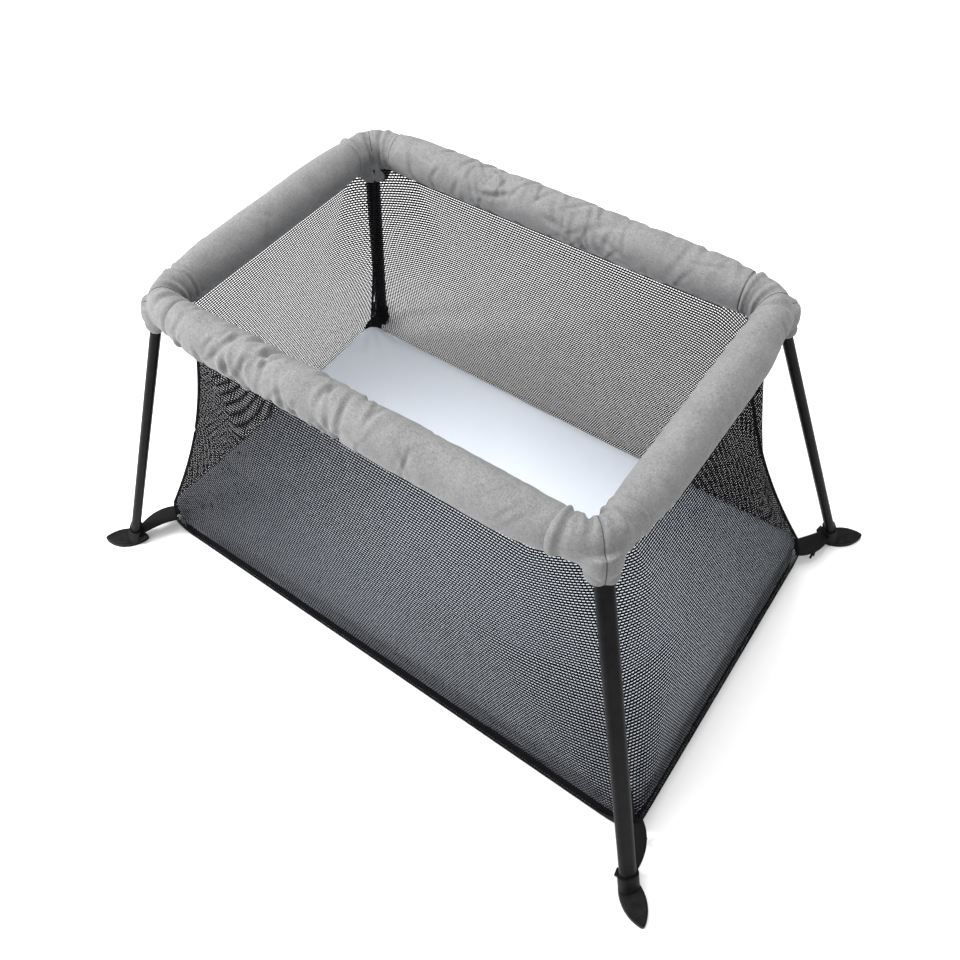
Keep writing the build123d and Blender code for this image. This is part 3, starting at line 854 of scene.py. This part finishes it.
def thread(name, line, radius, material, body):
    """A thin rounded cord of stitching or binding along points, which rides a body if one is given."""
    line = [Vector(p) for p in line]
    points = []
    for i, point in enumerate(line):
        ahead = (line[min(i + 1, len(line) - 1)] - line[max(i - 1, 0)]).normalized()
        side = ahead.cross(THREAD_UP).normalized()
        up = side.cross(ahead)
        for a in np.linspace(0, 2 * math.pi, THREAD_SIDES, endpoint=False):
            points.append(point + side * (radius * math.cos(a)) + up * (radius * math.sin(a)))
    faces = grid_faces(len(line), THREAD_SIDES, closed=True)
    last = (len(line) - 1) * THREAD_SIDES
    faces += [tuple(reversed(range(THREAD_SIDES))), tuple(range(last, last + THREAD_SIDES))]
    obj = make_object(name, points, faces, material)
    if body:
        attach(obj, body)
    return obj


SEAM_FROM = math.radians(150)
SEAM_TO = math.radians(-52)
SEAM_POINTS = 46
SEAM_CENTRE_DROP = 0.010
SEAM_RAY = 0.15
SEAM_LIFT = 0.0001
SEAM_RADIUS = 0.0005


def cap_seam(cap, end, side, bend, outward):
    """The dark seam over the corner, from the inner top edge down to the leg."""
    centre = bend + Vector((0, 0, -SEAM_CENTRE_DROP))
    origins = []
    for turn in np.linspace(SEAM_FROM, SEAM_TO, SEAM_POINTS):
        way = outward * math.cos(turn) + Vector((0, 0, math.sin(turn)))
        origins.append(centre + way * SEAM_RAY)
    line = surface_line(cap, origins, centre, SEAM_LIFT)
    thread(f"cap_seam_{end}_{side}", line, SEAM_RADIUS, SEAM, f"frame_{side}")


# Netting walls

# Heights are in metres, and how far a seam's pull reaches is a share of a wall's half length. A wall leans
# outwards from the rim down to the mattress's edge and is upright below it.
HEM_HEIGHT = 0.009
NET_TOP_TUCK = 0.010
HEM_LEVELS = 4
HEM_POINTS = 60
CORNER_TUCK = 0.014
CORNER_LIFT = 0.022
BASE_GAP = 0.001
MATTRESS_EDGE = 0.066
# Painted shade: all of the right wall's holes are shut further, so that the wall facing away from the lamps looks
# darker.
RIGHT_WALL_PAINTED_SHADE = 0.35
NET_ROWS = 64
LONG_COLUMNS = 90
SHORT_COLUMNS = 110
LONG_SLACK = 1.02
REACH_AT_RIM = 0.21
REACH_GAIN = 0.86
REACH_WIDEST = 0.61
REACH_WIDEST_AT = 0.46
REACH_LEAST = 0.06


def seam_pull(t):
    """How far the seam between two walls is drawn in along the diagonal, from the rim (0) to the base (1)."""
    return 0.055 * (1 - t * t) + 0.017 * math.sin(math.pi * t) + 0.006 * min(1, 5 * t)


def seam_reach(t):
    """How far along a wall its seam's pull reaches, as a share of half its length: most near mid-height."""
    if t < REACH_WIDEST_AT:
        return REACH_AT_RIM + REACH_GAIN * t
    return REACH_WIDEST * max(REACH_LEAST, (1 - t) / (1 - REACH_WIDEST_AT))


def pulled_share(edge, t):
    """The part of a seam's pull that reaches a place: none in the wall's flat middle, all at the seam."""
    wide = seam_reach(t)
    share = min(max((edge - (1 - wide)) / wide, 0), 1)
    return share ** (1.25 + 1.2 * t)


def wall_point(long_wall, sign, s, t):
    """A point of a wall: s from -1 to 1 along it, t from 0 at the rim to 1 at the base."""
    top_half, top_off = RIM_HALF_LENGTH, RIM_HALF_WIDTH
    base_half, base_off = BASE_HALF_LENGTH, BASE_HALF_WIDTH
    if not long_wall:
        top_half, top_off = top_off, top_half
        base_half, base_off = base_off, base_half
    edge = abs(s)
    top = SLEEVE_BOTTOM + NET_TOP_TUCK + CORNER_TUCK * min(1, max(0, (edge - 0.80) / 0.15))
    base = BASE_GAP + CORNER_LIFT * max(0, (edge - 0.90) / 0.10) ** 2
    height = top + (base - top) * t
    slant = min(1, (top - height) / (top - MATTRESS_EDGE))
    half = top_half + (base_half - top_half) * slant
    off = top_off + (base_off - top_off) * slant
    pull = seam_pull(t) * math.sqrt(0.5)
    flat_along = s * half
    pulled_along = s * (half - pull)
    along = flat_along + (pulled_along - flat_along) * min(1, edge ** 3)
    off -= pull * pulled_share(edge, t)
    if long_wall:
        return Vector((along, sign * off, height))
    return Vector((sign * off, along, height))


def wall_relief(sign, s, t):
    """Slow waves in the netting, still at its edges."""
    still = math.sin(math.pi * t) * max(0, 1 - abs(s) ** 4)
    return 0.0012 * math.sin(9 * s + 4 * t + sign) * still


def net_density_and_painted_shade(painted_shade, s, t):
    """How far the netting's holes are drawn shut, from 0 to 1: most beside the corner seams, plus painted shade
    added evenly over a whole wall.
    """
    wide = seam_reach(t)
    share = min(max((abs(s) - (1 - wide)) / wide * 5, 0), 1)
    return min(1, painted_shade + share * (0.45 + 0.45 * (1 - t)))


def outward_of(long_wall, sign):
    """The direction that a wall faces, level."""
    return Vector((0, sign, 0)) if long_wall else Vector((sign, 0, 0))


def net_panel(name, long_wall, sign, s_low, s_high, columns):
    """One stretch of a netting wall as a single sheet, with its cloth laid out in metres."""
    points, uv, density = [], [], []
    out = outward_of(long_wall, sign)
    # Painted shade: the right wall's netting is made denser all over, to darken it.
    painted_shade = 0.0 if long_wall or sign < 0 else RIGHT_WALL_PAINTED_SHADE
    for i in range(NET_ROWS):
        t = i / (NET_ROWS - 1)
        for j in range(columns):
            s = s_low + (s_high - s_low) * j / (columns - 1)
            point = wall_point(long_wall, sign, s, t)
            points.append(point + out * wall_relief(sign, s, t))
            along = point.x if long_wall else point.y
            uv.append((along, point.z * LONG_SLACK))
            density.append(net_density_and_painted_shade(painted_shade, s, t))
    obj = make_object(name, points, grid_faces(NET_ROWS, columns), NET, uv)
    layer = obj.data.attributes.new("density", "FLOAT", "POINT")
    layer.data.foreach_set("value", density)
    return obj


BAND_THICKNESS = 0.0012


def ribbon(name, lines, material):
    """A flat band through lines of points, thickened so that it has two faces and a thin edge."""
    count = len(lines[0])
    points = [p for line in lines for p in line]
    obj = make_object(name, points, grid_faces(len(lines), count), material)
    thick = obj.modifiers.new("thick", "SOLIDIFY")
    thick.thickness = BAND_THICKNESS
    thick.offset = 0
    apply_modifiers(obj)
    return obj


def gather_under_rim(obj, body):
    """Hangs a piece on a body of the rim's frame, with a mesh of its own."""
    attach(obj, body)
    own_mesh(obj)


def hem_lines(long_wall, sign, s_low, s_high):
    """Lines along a wall's foot, one above the other, wider apart towards the corners."""
    out = outward_of(long_wall, sign)
    last = HEM_LEVELS - 1
    lines = []
    for level in range(HEM_LEVELS):
        puff = 0.0012 + 0.0008 * math.sin(math.pi * level / last)
        line = []
        for j in range(HEM_POINTS):
            s = s_low + (s_high - s_low) * j / (HEM_POINTS - 1)
            widen = 1 + 2.2 * max(0, (abs(s) - 0.88) / 0.12)
            point = wall_point(long_wall, sign, s, 1.0)
            above = wall_point(long_wall, sign, s, 1.0 - HEM_HEIGHT * widen / SLEEVE_BOTTOM)
            line.append(point.lerp(above, level / last) + out * puff)
        lines.append(line)
    return lines


def netting_wall(name, wall, side, long_wall, sign, s_low, s_high, columns):
    """A stretch of a wall's netting and the hem along its foot, which follows it."""
    panel = net_panel(f"netting_{name}", long_wall, sign, s_low, s_high, columns)
    hem = ribbon(f"hem_{name}", hem_lines(long_wall, sign, s_low, s_high), BAND)
    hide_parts(f"wall_{wall}")
    gather_under_rim(panel, f"frame_{side}")
    gather_under_rim(hem, f"frame_{side}")


def netting_walls():
    """Two stretches for each long wall, which folds at its middle, and one for each short wall."""
    for end, sign in ENDS.items():
        for side, s_low, s_high in (("left", -1, 0), ("right", 0, 1)):
            netting_wall(f"{end}_{side}", end, side, True, sign, s_low, s_high, LONG_COLUMNS)
    for side, sign in SIDES.items():
        netting_wall(side, side, side, False, sign, -1, 1, SHORT_COLUMNS)


BINDING_RADIUS = 0.0026
BINDING_POINTS = 40


def corner_bindings():
    """The bound seams where two walls meet."""
    for end, sy in ENDS.items():
        for side, sx in SIDES.items():
            line = []
            for i in range(BINDING_POINTS):
                t = i / (BINDING_POINTS - 1)
                a = wall_point(True, sy, sx, t)
                b = wall_point(False, sx, sy, t)
                line.append((a + b) / 2)
            obj = thread(f"wall_binding_{end}_{side}", line, BINDING_RADIUS, BAND, None)
            gather_under_rim(obj, f"frame_{side}")


# Floor and bedding

CORNER_POINTS = 14


def rounded_outline(half_length, half_width, radius):
    """Points round a rectangle with round corners."""
    points = []
    for cx, cy, start in ((1, 1, 0), (-1, 1, 90), (-1, -1, 180), (1, -1, 270)):
        for i in range(CORNER_POINTS):
            a = math.radians(start + 90 * i / (CORNER_POINTS - 1))
            points.append((cx * (half_length - radius) + radius * math.cos(a),
                           cy * (half_width - radius) + radius * math.sin(a)))
    return points


BEDDING_STEPS = 6


def bedding_mesh(name, half_length, half_width, corner, low, high, edge, material):
    """A soft slab with round edges, half as deep below as above, closed."""
    levels = []
    quarter = [math.pi / 2 * i / BEDDING_STEPS for i in range(BEDDING_STEPS + 1)]
    for a in quarter:
        levels.append((edge * 0.5 * (1 - math.sin(a)), low + edge * 0.5 * (1 - math.cos(a))))
    for a in quarter:
        levels.append((edge * (1 - math.cos(a)), high - edge * (1 - math.sin(a))))
    rings = []
    for inset, height in levels:
        outline = rounded_outline(half_length - inset, half_width - inset, corner - inset * 0.5)
        rings.append([Vector((x, y, height)) for x, y in outline])
    return closed_object(name, [rings], material)


PUFF_FRAMES = 16
CACHE_END = 20


def puff_up(obj, voxel, limit, pressure):
    """Swells a closed cloth form a little, so that it looks stuffed and slightly slack."""
    remesh(obj, voxel)
    apply_modifiers(obj)
    before = points_of(obj)
    cloth = obj.modifiers.new("cloth", "CLOTH")
    settings = cloth.settings
    settings.use_pressure = True
    settings.uniform_pressure_force = pressure
    settings.effector_weights.gravity = 0
    settings.quality = 4
    settings.mass = 0.3
    cloth.point_cache.frame_start = 1
    cloth.point_cache.frame_end = CACHE_END
    for step in range(1, PUFF_FRAMES + 1):
        SCENE.frame_set(step)
    apply_modifiers(obj)
    SCENE.frame_set(1)
    move = points_of(obj) - before
    far = np.linalg.norm(move, axis=1, keepdims=True)
    set_points(obj, before + move * np.minimum(1, limit / np.maximum(far, 1e-9)))


# How far the filled sheet goes past the CAD sheet, and how its corners and edges are rounded.
SHEET_LONGER = 0.007
SHEET_WIDER = 0.003
SHEET_HIGHER = 0.016
SHEET_LIFT = 0.002
SHEET_CORNER = 0.026
SHEET_EDGE = 0.011
CROWN = 0.0035


def shape_sheet(sheet, top):
    """A slight crown on top, slack cloth, and folds that fan out from the corners."""
    points, normals = points_of(sheet), normals_of(sheet)
    upper = smoothstep(top - 0.02, top - 0.004, points[:, 2])
    x = np.abs(points[:, 0]) / SHEET_HIGH.x
    y = np.abs(points[:, 1]) / SHEET_HIGH.y
    crown = CROWN * (1 - x ** 4) * (1 - y ** 4) * upper
    slack = 0.0010 * soft_noise(points, 0.16, 3) + 0.0004 * soft_noise(points * [1, 2, 1], 0.05, 4)
    gap_x = SHEET_HIGH.x - np.abs(points[:, 0])
    gap_y = SHEET_HIGH.y - np.abs(points[:, 1])
    pulls = 0.0011 * np.cos(16 * np.arctan2(gap_y, gap_x)) * bell(np.hypot(gap_x, gap_y) - 0.07, 0.05)
    shape = slack + pulls * upper
    set_points(sheet, points + normals * shape[:, None] + np.array((0, 0, 1.0)) * crown[:, None])


def mattress_in_sheet():
    top = SHEET_HIGH.z + SHEET_HIGHER
    sheet = bedding_mesh("mattress_in_sheet", SHEET_HIGH.x + SHEET_LONGER, SHEET_HIGH.y + SHEET_WIDER,
                         SHEET_CORNER, SHEET_LOW.z + SHEET_LIFT, top, SHEET_EDGE, SHEET)
    puff_up(sheet, voxel=0.006, limit=0.003, pressure=2.0)
    shape_sheet(sheet, top)
    subdivide(sheet)
    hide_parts("mattress", "fitted_sheet")
    fold_with_base(sheet)


FLOOR_INSET = 0.004
FLOOR_CORNER = 0.040
FLOOR_BOTTOM = 0.0004
FLOOR_EDGE = 0.002


def cloth_floor():
    """The cloth base under the mattress."""
    floor = bedding_mesh("cloth_floor", BASE_HALF_LENGTH - FLOOR_INSET, BASE_HALF_WIDTH - FLOOR_INSET,
                         FLOOR_CORNER, FLOOR_BOTTOM, FLOOR_TOP, FLOOR_EDGE, FLOOR_CLOTH)
    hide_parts("floor_panel")
    fold_with_base(floor)


def fold_with_base(piece):
    """Hangs a piece on the floor's body, with a mesh of its own."""
    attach(piece, "floor")
    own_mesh(piece)


# Straps

# Where a strap starts against the foot's sole, where it passes over the ring and where it ends, both
# against the base's corner.
STRAP_START_IN = 0.018
STRAP_START_UP = 0.026
RING_PAST_X = 0.004
RING_PAST_Y = 0.007
STRAP_INSET_X = 0.012
STRAP_INSET_Y = 0.010
STRAP_END_HEIGHT = 0.034
RING_SHARE = 0.7
STRAP_COLUMNS = 9
STRAP_POINTS = 24
STRAP_CUP = 0.0025


def strap(end, side):
    """A webbing strap from the foot's collar over the ring to the base corner, wider at the base."""
    direction = leg_frame(end, side)[2]
    foot = Vector(MOUNTS[f"foot_sole_{end}_{side}"]["pos_m"])
    sx, sy = SIDES[side], ENDS[end]
    outward = Vector((direction.x, direction.y, 0)).normalized()
    base = Vector((sx * (BASE_HALF_LENGTH - STRAP_INSET_X), sy * (BASE_HALF_WIDTH - STRAP_INSET_Y),
                   STRAP_END_HEIGHT))
    over_ring = Vector((sx * (BASE_HALF_LENGTH + RING_PAST_X), sy * (BASE_HALF_WIDTH + RING_PAST_Y),
                        STRAP_END_HEIGHT))
    near = foot - outward * STRAP_START_IN + Vector((0, 0, STRAP_START_UP))
    rest = 1 - RING_SHARE
    control = (over_ring - near * rest ** 2 - base * RING_SHARE ** 2) / (2 * RING_SHARE * rest)
    lines = []
    for j in range(STRAP_COLUMNS):
        share = j / (STRAP_COLUMNS - 1) * 2 - 1
        line = []
        for i in range(STRAP_POINTS):
            t = i / (STRAP_POINTS - 1)
            half = 0.009 + 0.030 * t - 0.021 * t * t
            centre = near * (1 - t) ** 2 + control * (2 * t * (1 - t)) + base * t * t
            along = ((control - near) * (1 - t) + (base - control) * t).normalized()
            across = along.cross(UP).normalized()
            line.append(centre + across * (half * share) + Vector((0, 0, -STRAP_CUP * share * share)))
        lines.append(line)
    obj = ribbon(f"strap_{end}_{side}_webbing", lines, WEBBING)
    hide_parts(f"strap_{end}_{side}")
    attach(obj, f"leg_{end}_{side}")


# Stage

LOOK_AT = Vector((0, 0, 0.3))
CAMERA_TURN = math.radians(38.8)
CAMERA_RISE = math.radians(50.385)
CAMERA_ROLL = math.radians(-3.576)
CAMERA_DISTANCE = 1.6676
CAMERA_LENS = 35.046
CAMERA_SHIFT = (0.0090, -0.0367)


def place_camera():
    way = Vector((math.sin(CAMERA_TURN) * math.cos(CAMERA_RISE),
                  -math.cos(CAMERA_TURN) * math.cos(CAMERA_RISE), math.sin(CAMERA_RISE)))
    right = (-way).cross(UP).normalized()
    up = right.cross(-way)
    rolled = right * math.cos(CAMERA_ROLL) + up * math.sin(CAMERA_ROLL)
    raised = -right * math.sin(CAMERA_ROLL) + up * math.cos(CAMERA_ROLL)
    camera = place_object("camera", bpy.data.cameras.new("camera"))
    axes = Matrix((rolled, raised, way)).transposed().to_4x4()
    camera.matrix_world = Matrix.Translation(LOOK_AT + way * CAMERA_DISTANCE) @ axes
    camera.data.sensor_width = 36
    camera.data.lens = CAMERA_LENS
    camera.data.shift_x, camera.data.shift_y = CAMERA_SHIFT
    camera.data.clip_start = 0.05
    SCENE.camera = camera


def area_light(name, place, size, energy):
    data = bpy.data.lights.new(name, "AREA")
    data.shape = "DISK"
    data.size = size
    data.energy = energy
    light = place_object(name, data)
    light.location = place
    light.rotation_euler = (LOOK_AT - Vector(place)).to_track_quat("-Z", "Y").to_euler()


def studio():
    """A white floor, a white world, a lamp from the front left and a wide one overhead."""
    n = Nodes("studio_floor")
    cloudy = n.noise(n.position(), scale=3, detail=2.0)
    colour = n.ramp(cloudy, [(0.0, (0.93, 0.93, 0.93)), (1.0, (0.95, 0.95, 0.95))])
    n.set(Base_Color=colour)
    material = n.set(Roughness=0.9)
    reach = 9
    corners = [(-reach, -reach, 0), (reach, -reach, 0), (reach, reach, 0), (-reach, reach, 0)]
    floor = make_object("studio_floor", corners, [(0, 1, 2, 3)], material)
    world = bpy.data.worlds.new("studio")
    world.use_nodes = True
    background = world.node_tree.nodes["Background"]
    background.inputs["Color"].default_value = (1, 1, 1, 1)
    background.inputs["Strength"].default_value = 1.0
    SCENE.world = world
    SCENE.view_settings.view_transform = "Standard"
    area_light("key", (-2.3, -2.3, 1.9), size=0.9, energy=135)
    area_light("overhead", (-0.7, 0.2, 3.4), size=2.6, energy=125)


finish_cad_nodes()
for end_name in ENDS:
    long_sleeve(end_name)
for side_name in SIDES:
    short_sleeve(side_name)
netting_walls()
corner_bindings()
mattress_in_sheet()
cloth_floor()
for end_name in ENDS:
    for side_name in SIDES:
        corner_cap(end_name, side_name)
        strap(end_name, side_name)
place_camera()
studio()
